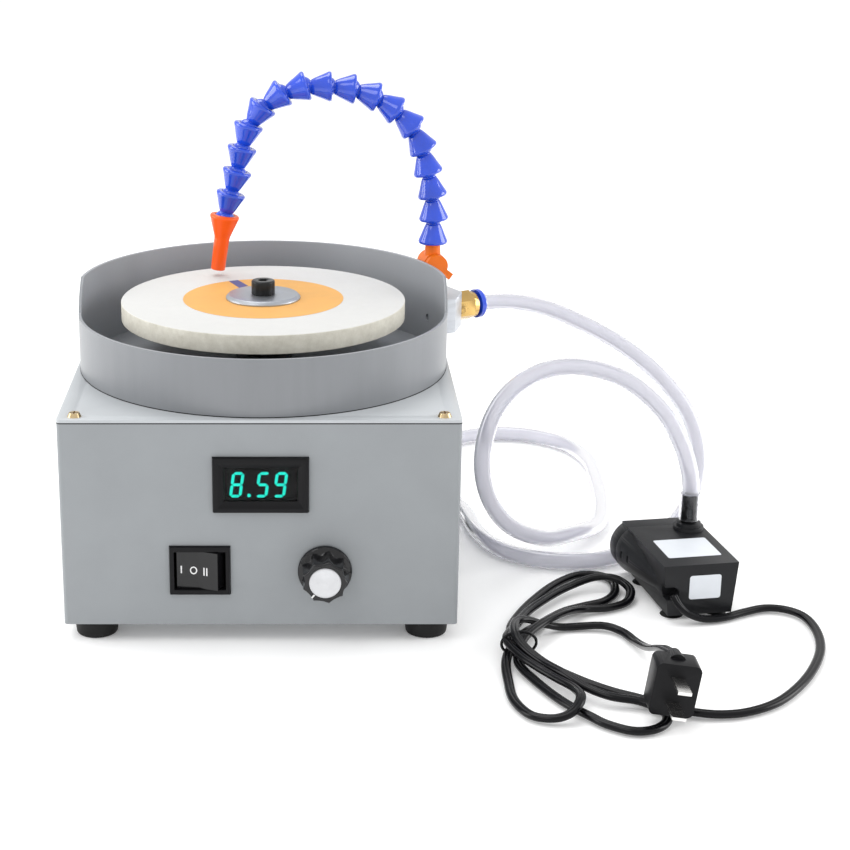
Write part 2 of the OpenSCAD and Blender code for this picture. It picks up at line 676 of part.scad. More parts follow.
// A cord of radius r along the points p, eight-sided
module tube(p, r) {
  n = 8;
  last = len(p) - 1;
  u = sides(p, [0.3, 0.2, 1]);
  ring = [for (i = [0:last]) let (v = cross(along(p, i), u[i])) for (k = [0:n - 1])
    p[i] + r * (cos(45 * k) * u[i] + sin(45 * k) * v)];
  wall = [for (i = [0:last - 1]) for (k = [0:n - 1]) let (a = i * n + k, b = i * n + (k + 1) % n)
    each [[a, b + n, b], [a, a + n, b + n]]];
  polyhedron(ring, concat([[for (k = [0:n - 1]) k]], wall,
    [[for (k = [n - 1:-1:0]) last * n + k]]), 4);
}

at_home() case();
at_home() base_plate();
at_home() feet();
at_home() foot_screws();
at_home() cover();
at_home() cover_screws();
at_home() basin();
at_home() spindle_seal();
at_home() meter_housing();
at_home() meter_lens();
at_home() meter_board();
at_home() switch_body();
at_home() switch_rocker();
at_home() speed_knob();
at_home() knob_cap();
at_home() potentiometer();
at_home() pot_shaft();
at_home() motor_can();
at_home() motor_end_cap();
at_home() motor_rotor();
at_home() motor_shaft();
at_home() motor_bearings();
at_home() motor_screws();
at_home() arbor_hub();
at_home() lap_disc();
at_home() clamp_flange();
at_home() clamp_screw();
at_home() control_board();
at_home() mains_inlet();
at_home() manifold_block();
at_home() push_fitting();
at_home() fitting_collet();
at_home() valve_body();
at_home() valve_handle();
at_home() hose_link(1);  // hose_link_01
at_home() hose_link(2);  // hose_link_02
at_home() hose_link(3);  // hose_link_03
at_home() hose_link(4);  // hose_link_04
at_home() hose_link(5);  // hose_link_05
at_home() hose_link(6);  // hose_link_06
at_home() hose_link(7);  // hose_link_07
at_home() hose_link(8);  // hose_link_08
at_home() hose_link(9);  // hose_link_09
at_home() hose_link(10);  // hose_link_10
at_home() hose_link(11);  // hose_link_11
at_home() hose_link(12);  // hose_link_12
at_home() hose_link(13);  // hose_link_13
at_home() hose_link(14);  // hose_link_14
at_home() hose_link(15);  // hose_link_15
at_home() hose_link(16);  // hose_link_16
at_home() hose_link(17);  // hose_link_17
at_home() nozzle();
at_home() coolant_hose();
at_home() pump_body();
at_home() pump_cover();
at_home() pump_impeller();
at_home() suction_cups();
at_home() pump_cable();
at_home() plug();
at_home() plug_blades();
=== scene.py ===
import json
import math
import bpy
import bmesh
from mathutils import Vector, Matrix


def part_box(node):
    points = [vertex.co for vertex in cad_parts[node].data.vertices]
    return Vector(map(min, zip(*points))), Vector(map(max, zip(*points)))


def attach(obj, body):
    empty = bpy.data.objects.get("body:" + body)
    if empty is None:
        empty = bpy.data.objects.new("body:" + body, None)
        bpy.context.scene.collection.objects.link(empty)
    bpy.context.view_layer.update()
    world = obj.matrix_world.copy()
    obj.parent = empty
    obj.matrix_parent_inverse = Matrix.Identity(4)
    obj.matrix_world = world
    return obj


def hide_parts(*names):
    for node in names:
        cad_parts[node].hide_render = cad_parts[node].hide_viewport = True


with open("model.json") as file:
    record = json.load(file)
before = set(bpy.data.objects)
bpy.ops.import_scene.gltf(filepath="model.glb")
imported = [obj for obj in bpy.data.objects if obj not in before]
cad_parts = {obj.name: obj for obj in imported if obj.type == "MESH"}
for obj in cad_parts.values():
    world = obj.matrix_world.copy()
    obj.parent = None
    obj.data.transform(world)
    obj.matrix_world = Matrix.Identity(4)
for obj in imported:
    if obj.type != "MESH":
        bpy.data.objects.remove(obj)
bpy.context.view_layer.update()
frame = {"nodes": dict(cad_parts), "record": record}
scene = bpy.context.scene
nodes = frame["nodes"]
body_with = {n: b for b, ns in frame["record"]["behaviour"]["bodies"].items() for n in ns}
slot_with = {s["node"]: s["material_slot"] for s in frame["record"]["subparts"]}
MM = 0.001
# The middle of the housing at floor height: every coordinate in mm below is measured from it.
case_low, case_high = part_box("case")
HOME = (case_low + case_high) / 2
HOME.z = 0

# ---------------------------------------------------------------- camera
camera = bpy.data.cameras.new("camera")
camera.sensor_width = 36
camera.lens = 78.85
camera.shift_x = 0.139
camera.clip_start = 0.05
camera.clip_end = 20
camera_object = bpy.data.objects.new("camera", camera)
camera_object.location = HOME + Vector((0.0234, -0.9712, 0.4001))
camera_object.rotation_euler = (math.radians(71.935), 0, 0)
scene.collection.objects.link(camera_object)
scene.camera = camera_object


# ---------------------------------------------------------------- materials
def new_material(name):
    m = bpy.data.materials.new(name)
    m.use_nodes = True
    t = m.node_tree
    return m, t, t.nodes["Principled BSDF"]


def add(t, kind, **values):
    """A node with its properties set, and with its inputs set from the names that start with in_."""
    n = t.nodes.new(kind)
    for k, v in values.items():
        if k.startswith("in_"):
            n.inputs[k[3:].replace("_", " ")].default_value = v
        else:
            setattr(n, k, v)
    return n


def surface(name, colour, rough, metal=0.0, vary=0.06, grain=90.0, bump=0.0, bump_grain=900.0,
            stretch=(1, 1, 1), rough_vary=0.06, **sockets):
    """Clouded colour and roughness with a fine bump; any other shader socket is given by name."""
    m, t, bsdf = new_material(name)
    where = add(t, "ShaderNodeTexCoord")
    scaled = add(t, "ShaderNodeMapping", in_Scale=stretch)
    t.links.new(where.outputs["Object"], scaled.inputs["Vector"])
    cloud = add(t, "ShaderNodeTexNoise", in_Scale=grain, in_Detail=4.0)
    t.links.new(scaled.outputs[0], cloud.inputs["Vector"])
    ramp = add(t, "ShaderNodeValToRGB")
    ramp.color_ramp.elements[0].position = 0.3
    ramp.color_ramp.elements[1].position = 0.7
    ramp.color_ramp.elements[0].color = [c * (1 - vary) for c in colour[:3]] + [1]
    ramp.color_ramp.elements[1].color = [min(1, c * (1 + vary)) for c in colour[:3]] + [1]
    t.links.new(cloud.outputs["Fac"], ramp.inputs["Fac"])
    t.links.new(ramp.outputs["Color"], bsdf.inputs["Base Color"])
    spread = add(t, "ShaderNodeMapRange", in_To_Min=max(0.02, rough - rough_vary),
                 in_To_Max=min(1, rough + rough_vary))
    t.links.new(cloud.outputs["Fac"], spread.inputs["Value"])
    t.links.new(spread.outputs[0], bsdf.inputs["Roughness"])
    bsdf.inputs["Metallic"].default_value = metal
    for k, v in sockets.items():
        bsdf.inputs[k.replace("_", " ")].default_value = v
    if bump:
        fine = add(t, "ShaderNodeTexNoise", in_Scale=bump_grain, in_Detail=3.0)
        t.links.new(scaled.outputs[0], fine.inputs["Vector"])
        lift = add(t, "ShaderNodeBump", in_Strength=bump, in_Distance=0.0004)
        t.links.new(fine.outputs["Fac"], lift.inputs["Height"])
        t.links.new(lift.outputs[0], bsdf.inputs["Normal"])
    return m


def disc_surface():
    """Near-white on top, and a cream, coarser edge."""
    m, t, bsdf = new_material("white_disc")
    where = add(t, "ShaderNodeTexCoord")
    shape = add(t, "ShaderNodeNewGeometry")
    split = add(t, "ShaderNodeSeparateXYZ")
    t.links.new(shape.outputs["Normal"], split.inputs[0])
    up = add(t, "ShaderNodeMapRange", in_From_Min=0.5, in_From_Max=0.9)
    t.links.new(split.outputs["Z"], up.inputs["Value"])
    cloud = add(t, "ShaderNodeTexNoise", in_Scale=160.0, in_Detail=8.0, in_Roughness=0.75)
    t.links.new(where.outputs["Object"], cloud.inputs["Vector"])
    side = add(t, "ShaderNodeValToRGB")
    side.color_ramp.elements[0].position = 0.25
    side.color_ramp.elements[1].position = 0.75
    side.color_ramp.elements[0].color = (0.5, 0.475, 0.4, 1)
    side.color_ramp.elements[1].color = (0.72, 0.7, 0.62, 1)
    t.links.new(cloud.outputs["Fac"], side.inputs["Fac"])
    top = add(t, "ShaderNodeValToRGB")
    top.color_ramp.elements[0].color = (0.53, 0.53, 0.515, 1)
    top.color_ramp.elements[1].color = (0.59, 0.59, 0.575, 1)
    t.links.new(cloud.outputs["Fac"], top.inputs["Fac"])
    mix = add(t, "ShaderNodeMix", data_type="RGBA")
    t.links.new(up.outputs[0], mix.inputs["Factor"])
    t.links.new(side.outputs["Color"], mix.inputs[6])
    t.links.new(top.outputs["Color"], mix.inputs[7])
    t.links.new(mix.outputs[2], bsdf.inputs["Base Color"])
    bsdf.inputs["Roughness"].default_value = 0.75
    lift = add(t, "ShaderNodeBump", in_Strength=0.5, in_Distance=0.0006)
    t.links.new(cloud.outputs["Fac"], lift.inputs["Height"])
    t.links.new(lift.outputs[0], bsdf.inputs["Normal"])
    return m


def glow(name, colour, strength):
    m, t, bsdf = new_material(name)
    where = add(t, "ShaderNodeTexCoord")
    cloud = add(t, "ShaderNodeTexNoise", in_Scale=300.0)
    t.links.new(where.outputs["Object"], cloud.inputs["Vector"])
    ramp = add(t, "ShaderNodeValToRGB")
    ramp.color_ramp.elements[0].color = [c * 0.9 for c in colour] + [1]
    ramp.color_ramp.elements[1].color = [min(1, c * 1.05) for c in colour] + [1]
    t.links.new(cloud.outputs["Fac"], ramp.inputs["Fac"])
    t.links.new(ramp.outputs["Color"], bsdf.inputs["Base Color"])
    t.links.new(ramp.outputs["Color"], bsdf.inputs["Emission Color"])
    bsdf.inputs["Emission Strength"].default_value = strength
    bsdf.inputs["Roughness"].default_value = 0.4
    return m


def clear_surface():
    """Milky clear PVC that darkens where the tube's wall turns away."""
    m = surface("clear_hose", (0.95, 0.95, 0.98), 0.14, vary=0.02, rough_vary=0.03,
                Transmission_Weight=0.72, IOR=1.13)
    t = m.node_tree
    bsdf = t.nodes["Principled BSDF"]
    edge = add(t, "ShaderNodeLayerWeight", in_Blend=0.35)
    tint = add(t, "ShaderNodeValToRGB")
    tint.color_ramp.elements[0].position = 0.15
    tint.color_ramp.elements[1].position = 0.95
    tint.color_ramp.elements[0].color = (0.79, 0.79, 0.83, 1)
    tint.color_ramp.elements[1].color = (0.48, 0.48, 0.56, 1)
    t.links.new(edge.outputs["Facing"], tint.inputs["Fac"])
    t.links.new(tint.outputs["Color"], bsdf.inputs["Base Color"])
    return m


def basin_with_painted_shade():
    """The same grey coat inside and out, with painted light and shade: paler inside the bowl and darker
    on its outer wall.
    """
    m = surface("basin_grey", (0.2, 0.209, 0.222), 0.38, vary=0.05, grain=70, bump=0.1,
                bump_grain=1500, stretch=(1, 1, 0.1))
    t = m.node_tree
    bsdf = t.nodes["Principled BSDF"]
    shaded_outside = bsdf.inputs["Base Color"].links[0].from_socket
    where = add(t, "ShaderNodeTexCoord")
    flat = add(t, "ShaderNodeMapping", in_Location=(-HOME.x, -HOME.y, 0), in_Scale=(1, 1, 0))
    t.links.new(where.outputs["Object"], flat.inputs["Vector"])
    shape = add(t, "ShaderNodeNewGeometry")
    facing = add(t, "ShaderNodeVectorMath", operation="DOT_PRODUCT")
    t.links.new(flat.outputs[0], facing.inputs[0])
    t.links.new(shape.outputs["Normal"], facing.inputs[1])
    side = add(t, "ShaderNodeMapRange", in_From_Min=-0.05, in_From_Max=0.03)
    t.links.new(facing.outputs["Value"], side.inputs["Value"])
    mix = add(t, "ShaderNodeMix", data_type="RGBA")
    # Painted light: a paler copy of the outer wall's grey for the inside of the bowl.
    mix.inputs[6].default_value = (0.33, 0.345, 0.365, 1)
    t.links.new(side.outputs[0], mix.inputs["Factor"])
    t.links.new(shaded_outside, mix.inputs[7])
    t.links.new(mix.outputs[2], bsdf.inputs["Base Color"])
    return m


def spun_surface():
    """Metal turned on a lathe, so that its shine fans out round the knob's axis."""
    m = surface("silver_cap", (0.56, 0.565, 0.58), 0.3, 1.0, vary=0.05, grain=400,
                Anisotropic=0.85)
    t = m.node_tree
    round_axis = add(t, "ShaderNodeTangent", direction_type="RADIAL", axis="Y")
    t.links.new(round_axis.outputs[0], t.nodes["Principled BSDF"].inputs["Tangent"])
    return m


MATERIALS = {
    "grey_powder_coat": surface("grey_powder_coat", (0.258, 0.274, 0.287), 0.42, vary=0.03,
        grain=40, bump=0.12, bump_grain=1500),
    "basin_grey": basin_with_painted_shade(),
    "zinc_steel": surface("zinc_steel", (0.55, 0.56, 0.58), 0.38, 1.0, bump=0.05),
    "bright_steel": surface("bright_steel", (0.62, 0.63, 0.65), 0.3, 1.0, vary=0.1, grain=30,
        stretch=(6, 6, 60), bump=0.05),
    "motor_steel": surface("motor_steel", (0.09, 0.095, 0.1), 0.4, 0.2, bump=0.05),
    "cast_alloy": surface("cast_alloy", (0.5, 0.51, 0.53), 0.5, 0.9, bump=0.2, bump_grain=500),
    "bare_alloy": surface("bare_alloy", (0.5, 0.52, 0.55), 0.42, 0.85, vary=0.08, grain=60,
        stretch=(1, 1, 8), bump=0.08),
    "brass": surface("brass", (0.54, 0.355, 0.125), 0.15, 1.0, vary=0.08, bump=0.03),
    "brass_screw": surface("brass_screw", (0.55, 0.42, 0.24), 0.3, 1.0, vary=0.15, grain=400),
    "black_rubber": surface("black_rubber", (0.008, 0.008, 0.008), 0.6, bump=0.15,
        Specular_IOR_Level=0.25),
    "black_plastic": surface("black_plastic", (0.005, 0.005, 0.006), 0.36, bump=0.06,
        bump_grain=1200, Specular_IOR_Level=0.16),
    "black_gloss": surface("black_gloss", (0.006, 0.006, 0.007), 0.17, bump=0.02,
        Specular_IOR_Level=0.42),
    "pump_black": surface("pump_black", (0.01, 0.0105, 0.012), 0.42, bump=0.08, bump_grain=900,
        Specular_IOR_Level=0.25),
    "silver_cap": spun_surface(),
    "meter_lens": surface("meter_lens", (0.6, 0.6, 0.62), 0.05, rough_vary=0.02,
        Transmission_Weight=1.0, IOR=1.17),
    "circuit_board": surface("circuit_board", (0.02, 0.13, 0.05), 0.4, vary=0.25, grain=300),
    "white_disc": disc_surface(),
    "black_oxide": surface("black_oxide", (0.012, 0.012, 0.012), 0.3, 0.2, vary=0.2, grain=500,
        bump=0.05, Specular_IOR_Level=0.3),
    "blue_plastic": surface("blue_plastic", (0.008, 0.055, 0.54), 0.1, vary=0.12, grain=60,
        bump=0.02, Specular_IOR_Level=0.6, Coat_Weight=0.35, Coat_Roughness=0.04),
    "orange_plastic": surface("orange_plastic", (0.88, 0.1, 0.006), 0.3, vary=0.05, grain=60,
        bump=0.03, Specular_IOR_Level=0.35),
    "clear_hose": clear_surface(),
    "white_plastic": surface("white_plastic", (0.8, 0.8, 0.8), 0.4, bump=0.03),
    "black_cable": surface("black_cable", (0.003, 0.003, 0.004), 0.2, bump=0.04, bump_grain=700,
        Specular_IOR_Level=0.19),
    "plated_blades": surface("plated_blades", (0.75, 0.74, 0.72), 0.2, 1.0, vary=0.08, bump=0.03),
}
LABEL = surface("disc_label", (0.66, 0.34, 0.08), 0.6, vary=0.04, grain=120, bump=0.08)
STRIP = surface("label_strip", (0.075, 0.07, 0.22), 0.6, vary=0.08, grain=300)
PAPER = surface("blank_label", (0.66, 0.69, 0.73), 0.42, vary=0.02, grain=120, bump=0.03)
MARKS = surface("white_marks", (0.75, 0.75, 0.75), 0.5, vary=0.04)
DIGITS = glow("digit_light", (0.0, 0.85, 0.62), 1.25)
PANEL = surface("display_panel", (0.01, 0.009, 0.009), 0.6, vary=0.15, Specular_IOR_Level=0.1)
SLEEVE = surface("clear_sleeve", (0.9, 0.9, 0.92), 0.06, vary=0.02, rough_vary=0.02,
                 Transmission_Weight=1.0, IOR=1.05, Coat_Weight=0.5)
VALVE = surface("orange_valve", (0.76, 0.15, 0.005), 0.36, vary=0.05, grain=60, bump=0.03,
                Specular_IOR_Level=0.3)

finish_with = {n: MATERIALS[slot_with[n]] for n in nodes}
# Painted light: the case's grey coat made lighter on the cover, whose top face sits in the basin's
# shade.
finish_with["cover"] = surface("grey_powder_coat_painted_lit_top", (0.45, 0.472, 0.49), 0.4, vary=0.03, grain=40,
                               bump=0.12, bump_grain=1500)
finish_with["clamp_flange"] = surface("zinc_flange", (0.4, 0.42, 0.45), 0.42, 1.0, vary=0.06,
                                      grain=80, bump=0.05)
finish_with["spindle_seal"] = surface("grey_rubber", (0.06, 0.06, 0.063), 0.6, vary=0.1, bump=0.1)
finish_with["valve_body"] = finish_with["valve_handle"] = VALVE
for name, piece in nodes.items():
    finish = finish_with[name]
    for s in piece.material_slots:
        s.link = "OBJECT"
        s.material = finish


# ---------------------------------------------------------------- shape helpers
def piece_from(name, verts, faces, finish, body, smooth=True):
    """A mesh of points in metres from HOME that rides on the body."""
    mesh = bpy.data.meshes.new(name)
    mesh.from_pydata([tuple(v + HOME) for v in verts], [], faces)
    mesh.validate()
    mesh.polygons.foreach_set("use_smooth", [smooth] * len(mesh.polygons))
    mesh.materials.append(finish)
    o = bpy.data.objects.new(name, mesh)
    scene.collection.objects.link(o)
    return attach(o, body)


def crisp(o, angle):
    """Smooth shading, with the edges that turn more than the angle kept sharp."""
    for p in o.data.polygons:
        p.use_smooth = True
    mesh = bmesh.new()
    mesh.from_mesh(o.data)
    for e in mesh.edges:
        if len(e.link_faces) == 2 and e.calc_face_angle(0) > math.radians(angle):
            e.smooth = False
    mesh.to_mesh(o.data)
    mesh.free()
    return o


def joined_mesh(node):
    """The CAD node's mesh with its doubled vertices joined."""
    mesh = bmesh.new()
    mesh.from_mesh(nodes[node].data)
    bmesh.ops.remove_doubles(mesh, verts=mesh.verts, dist=1e-6)
    return mesh


def stands_for(node, name, mesh, width, segments):
    """Makes the mesh a piece that replaces the CAD node, and returns the piece's bevel modifier."""
    data = bpy.data.meshes.new(name)
    mesh.to_mesh(data)
    mesh.free()
    data.materials.clear()
    data.materials.append(finish_with[node])
    data.polygons.foreach_set("use_smooth", [True] * len(data.polygons))
    o = bpy.data.objects.new(name, data)
    scene.collection.objects.link(o)
    bevel = o.modifiers.new("round", "BEVEL")
    bevel.width = width * MM
    bevel.segments = segments
    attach(o, body_with[node])
    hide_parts(node)
    return bevel


def softened(node, width, segments=2):
    """A copy of a CAD node with all its sharp edges rounded."""
    mesh = joined_mesh(node)
    bmesh.ops.dissolve_limit(mesh, angle_limit=math.radians(0.5), verts=mesh.verts, edges=mesh.edges)
    bevel = stands_for(node, node + "_soft", mesh, width, segments)
    bevel.limit_method = "ANGLE"
    bevel.angle_limit = math.radians(30)
    bevel.harden_normals = True
    bevel.use_clamp_overlap = True


def rimmed(node, width, above):
    """A copy of a CAD node with its edges rounded only above that height."""
    mesh = joined_mesh(node)
    weight = mesh.edges.layers.float.new("bevel_weight_edge")
    for e in mesh.edges:
        turn = e.calc_face_angle(0)
        e.smooth = turn < math.radians(30)
        high = min(v.co.z for v in e.verts) > above * MM
        e[weight] = 1.0 if high and turn > math.radians(50) else 0.0
    bevel = stands_for(node, node + "_rimmed", mesh, width, 3)
    bevel.limit_method = "WEIGHT"


def lathe(name, profile, finish, body, at=Matrix.Identity(4), sides=48):
    """Turns (radius, height) points in mm about Z, then places them with the matrix."""
    verts, faces = [], []
    closed = profile[0] == profile[-1]
    if closed:
        profile = profile[:-1]
    for r, z in profile:
        for k in range(sides):
            a = 2 * math.pi * k / sides
            verts.append(at @ Vector((r * MM * math.cos(a), r * MM * math.sin(a), z * MM)))
    for i in range(len(profile) if closed else len(profile) - 1):
        j = (i + 1) % len(profile)
        for k in range(sides):
            k2 = (k + 1) % sides
            faces.append((i * sides + k, i * sides + k2, j * sides + k2, j * sides + k))
    if not closed:
        faces.append(tuple(reversed(range(sides))))
        faces.append(tuple(range((len(profile) - 1) * sides, len(profile) * sides)))
    o = piece_from(name, verts, faces, finish, body)
    return crisp(o, 40)


def prisms(name, outlines, low, high, finish, body, at=Matrix.Identity(4)):
    """Thin raised shapes in mm on the XY plane of the matrix, in one mesh."""
    verts, faces = [], []
    for outline in outlines:
        b, n = len(verts), len(outline)
        area = sum(p[0] * q[1] - q[0] * p[1] for p, q in zip(outline, outline[1:] + outline[:1]))
        outline = outline if area > 0 else outline[::-1]
        for z in (low, high):
            verts += [at @ (Vector((x, y, z)) * MM) for x, y in outline]
        faces.append(tuple(b + k for k in reversed(range(n))))
        faces.append(tuple(b + n + k for k in range(n)))
        faces += [(b + k, b + (k + 1) % n, b + n + (k + 1) % n, b + n + k) for k in range(n)]
    return piece_from(name, verts, faces, finish, body, smooth=False)


def smooth_path(points, steps):
    """Catmull-Rom curve through the points."""
    p = [Vector(v) for v in points]
    p = [2 * p[0] - p[1]] + p + [2 * p[-1] - p[-2]]
    out = []
    for i in range(1, len(p) - 2):
        a, b, c, d = p[i - 1:i + 3]
        for k in range(steps):
            t = k / steps
            out.append(0.5 * (2 * b + (c - a) * t + (2 * a - 5 * b + 4 * c - d) * t * t
                              + (3 * b - a - 3 * c + d) * t ** 3))
    out.append(p[-2])
    return out


def sweep(path, outline, level=False):
    """Rings of the (x, y) outline along the path; level keeps the outline's x axis horizontal."""
    rings = []
    side = Vector((0.3, 0.2, 1))  # any start that isn't along the path
    for i, p in enumerate(path):
        t = (path[min(i + 1, len(path) - 1)] - path[max(i - 1, 0)]).normalized()
        side = t.cross(Vector((0, 0, 1))) if level else side - side.dot(t) * t
        side = side.normalized()
        up = side.cross(t)
        rings.append([p + side * x + up * y for x, y in outline])
    return rings


def skin(rings, start, n):
    """The faces between neighbouring rings of n vertices, numbered from start."""
    faces = []
    for i in range(len(rings) - 1):
        for k in range(n):
            a, b = start + i * n + k, start + i * n + (k + 1) % n
            faces.append((a, b, b + n, a + n))
    return faces


# ---------------------------------------------------------------- cords
# Centre lines in mm from HOME, from the machine to the pump and from the pump to the plug.
HOSE = [
    (124, 69, 135), (142, 76.5, 133.5), (162, 82, 128.5), (184, 84, 119), (208, 82.5, 106),
    (230, 77, 89), (247, 69.5, 67.5), (253, 60, 44.5), (248, 49, 24), (235, 36, 10.5), (214.5, 16, 5.5),
    (191.5, -1, 5), (168.5, -5.5, 5), (147, 0.5, 5), (131.5, 16, 5), (122.5, 41, 5), (118.5, 70.5, 5),
    (111, 98, 5), (105.5, 128, 5), (101, 158.5, 5), (109, 193, 5), (128.5, 214, 5), (151.5, 222, 5),
    (175, 216.5, 5), (195, 198.5, 5), (205, 168.5, 5), (205.5, 136, 5), (204, 106, 5), (200.5, 76, 5),
    (193, 48, 6), (178, 26, 10), (157.5, 7, 14), (137, -4.5, 25.5), (124.5, -9.5, 42.5),
    (119.5, -8.5, 63.5), (123.5, -3, 85.5), (135.5, 4.5, 102), (154.5, 11, 111.5), (177, 12.5, 112.5),
    (200, 10, 105.5), (218.5, 0, 91), (227.5, -10, 75.5), (231, -16.5, 63.5), (231.9, -19.4, 56.5),
    (232, -20.2, 50.3),
]
CABLE = [
    (214.4, -75.8, 15), (217.4, -78.3, 10), (222, -79.6, 6), (230, -79.5, 3), (241, -77, 2.5),
    (253.5, -70, 2.5), (266, -64.5, 2.5), (277, -67, 2.5), (284, -76.5, 2.5), (285.5, -94.5, 2.5),
    (282, -115, 2.5), (273.5, -136, 2.5), (261.5, -156.5, 2.5), (246.5, -174.5, 2.5),
    (231, -184.5, 2.5), (217, -187.5, 2.5), (204, -185, 2.5), (193, -179.5, 2.5), (182, -171, 2.5),
    (170, -163.5, 2.5), (159, -154, 2.5), (149, -143, 2.5), (139.5, -131.5, 2.5), (133, -119.5, 2.5),
    (129, -106.5, 2.5), (128.5, -90.5, 2.5), (135.5, -71.5, 2.5), (146, -51.5, 2.5), (159, -32, 2.5),
    (172.5, -19.5, 2.5), (183.5, -19, 2.5), (190.5, -27, 2.5), (189.5, -44, 2.5), (182, -55.5, 2.5),
    (170, -62, 2.5), (157.5, -72, 3.5), (143, -86.5, 2.5), (132.5, -108, 7), (125, -121.5, 5),
    (121.5, -135.5, 4), (121, -152, 2.5), (121.5, -172, 2.5), (127, -187, 2.5), (134.5, -192.5, 3),
    (142, -193, 4), (148, -189.5, 6), (152, -180.5, 8), (150.5, -169, 7), (143, -156.5, 6.5),
    (135.5, -145.5, 7), (128.5, -134, 8), (123.5, -118.5, 9.5), (130.5, -96, 6.5), (139, -75, 5),
    (151, -57.5, 5), (164, -42.5, 5), (179, -34, 7), (189.5, -35, 7.5), (195.5, -40, 6),
    (197.5, -47.5, 4.5), (193.5, -57, 2.5), (182, -64.5, 2.5), (168.5, -69.5, 4), (156.5, -83, 8),
    (143, -101, 10), (132.5, -115.5, 8.5), (128.5, -127, 4.5), (128.5, -136.5, 3), (134, -151.5, 2.5),
    (140.5, -166.5, 2.5), (147.5, -179, 2.5), (155.5, -189.5, 2.5), (162, -197.5, 2.5),
    (172.5, -204, 2.5), (182, -203, 2.5), (189, -196.5, 2.5), (191, -189, 3), (188, -182, 3),
    (180, -176.5, 4), (167.5, -174, 5), (157, -166.5, 6), (148, -156, 8), (138.5, -141.5, 8),
    (131, -130.5, 10.5), (127.5, -120.5, 13), (129.5, -103.5, 12), (136, -96, 10), (145, -93, 6),
    (156, -89, 2.5), (175.5, -88, 3), (185, -94, 2.5), (189.5, -106, 3), (191, -121, 7),
    (191.5, -137, 13), (192, -152, 20), (192.5, -167, 26.5), (194, -181, 30.5),
]
HOSE_D = 0.0095
HOSE_BORE = 0.0064
HOSE_SIDES = 24
CABLE_W = 0.005
WIRE_R = 0.00165  # of each of the cable's two rounded edges
TIE_R = 0.75


hose_line = smooth_path([[c * MM for c in p] for p in HOSE], 8)
n = HOSE_SIDES
ring = [(math.cos(2 * math.pi * k / n), math.sin(2 * math.pi * k / n)) for k in range(n)]
outer = sweep(hose_line, [(x * HOSE_D / 2, y * HOSE_D / 2) for x, y in ring])
inner = sweep(hose_line, [(x * HOSE_BORE / 2, y * HOSE_BORE / 2) for x, y in ring])
hose_verts = [v for r in outer for v in r] + [v for r in inner for v in r]
count = len(outer) * n
hose_faces = skin(outer, 0, n) + [tuple(reversed(f)) for f in skin(inner, count, n)]
for i, flip in ((0, True), (len(outer) - 1, False)):
    for k in range(n):
        k2 = (k + 1) % n
        f = (i * n + k, i * n + k2, count + i * n + k2, count + i * n + k)
        hose_faces.append(f if flip else tuple(reversed(f)))
hose = piece_from("hose_tube", hose_verts, hose_faces, MATERIALS["clear_hose"], "machine")
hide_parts("coolant_hose")

cable_line = smooth_path([[c * MM for c in p] for p in CABLE], 5)
twin = []
for k in range(12):
    a = math.radians(-150 + 300 * k / 11)
    twin.append((CABLE_W / 2 - WIRE_R + WIRE_R * math.cos(a), WIRE_R * math.sin(a)))
twin += [(-x, -y) for x, y in twin]
cable_rings = sweep(cable_line, twin, level=True)
cable_verts = [v for r in cable_rings for v in r]
m = len(twin)
cable_faces = skin(cable_rings, 0, m)
cable_faces.append(tuple(reversed(range(m))))
cable_faces.append(tuple(range(len(cable_verts) - m, len(cable_verts))))
cable = piece_from("cable_run", cable_verts, cable_faces, MATERIALS["black_cable"], "machine")
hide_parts("pump_cable")


# ---------------------------------------------------------------- rounded housings
softened("cover", 0.35)
rimmed("basin", 0.4, 150)
softened("feet", 0.8)
softened("meter_housing", 0.3)
softened("switch_body", 0.3)
softened("pump_cover", 0.5)
softened("plug", 1.6, 3)
softened("arbor_hub", 0.3)
softened("clamp_flange", 0.2)
softened("clamp_screw", 0.25)
softened("push_fitting", 0.35)
softened("valve_handle", 0.5, 3)
softened("lap_disc", 0.5, 3)
softened("manifold_block", 0.3)

# ---------------------------------------------------------------- coolant arm
# Each link's lean from upright in degrees, from the valve to the nozzle's own.
LEAN = [0, 5, 12, 15, 29, 47, 58, 72, 85, 91, 109, 127, 146, 164, 167, 164, 165, 172]
PITCH = 13.1
ARM_REACH, ARM_TURN, ARM_Z = 107.4, math.radians(29), 176.5
at = Vector((ARM_REACH * math.cos(ARM_TURN), ARM_REACH * math.sin(ARM_TURN), ARM_Z))
ball = [(5.8 * math.cos(math.radians(a)), PITCH + 5.8 * math.sin(math.radians(a)))
        for a in range(-45, 66, 11)]
cup = [(6.1 * math.cos(math.radians(a)), 6.1 * math.sin(math.radians(a)))
       for a in range(60, -30, -11)]
link_profile = (
    [(5.35, -2.9), (5.6, -3.0), (6.9, -3.0), (7.6, -2.85), (8.05, -2.4), (8.2, -1.75), (8.1, -1.1),
     (7.75, -0.3), (7.0, 1.4), (6.2, 3.3), (5.55, 5.0), (5.0, 6.3), (4.5, 7.3), (4.25, 7.8), (4.1, 8.15),
     (3.75, 8.4), (3.7, 8.7)] + ball + [(2.8, 18.15), (2.8, 5.5)] + cup + [(5.35, -2.9)])
nozzle_profile = (
    [(5.35, -2.9), (5.6, -3.0), (7.0, -3.0), (7.7, -2.8), (8.1, -2.3), (8.2, -1.7), (8.1, -1.1),
     (7.8, -0.4), (7.0, 2.0), (6.1, 4.6), (5.2, 7.2), (4.7, 8.7), (4.45, 9.6), (4.3, 10.6), (4.25, 12.0),
     (4.0, 28.0), (3.85, 28.35), (3.6, 28.5), (2.5, 28.5), (2.3, 28.2), (2.3, 5.7)]
    + cup + [(5.35, -2.9)])
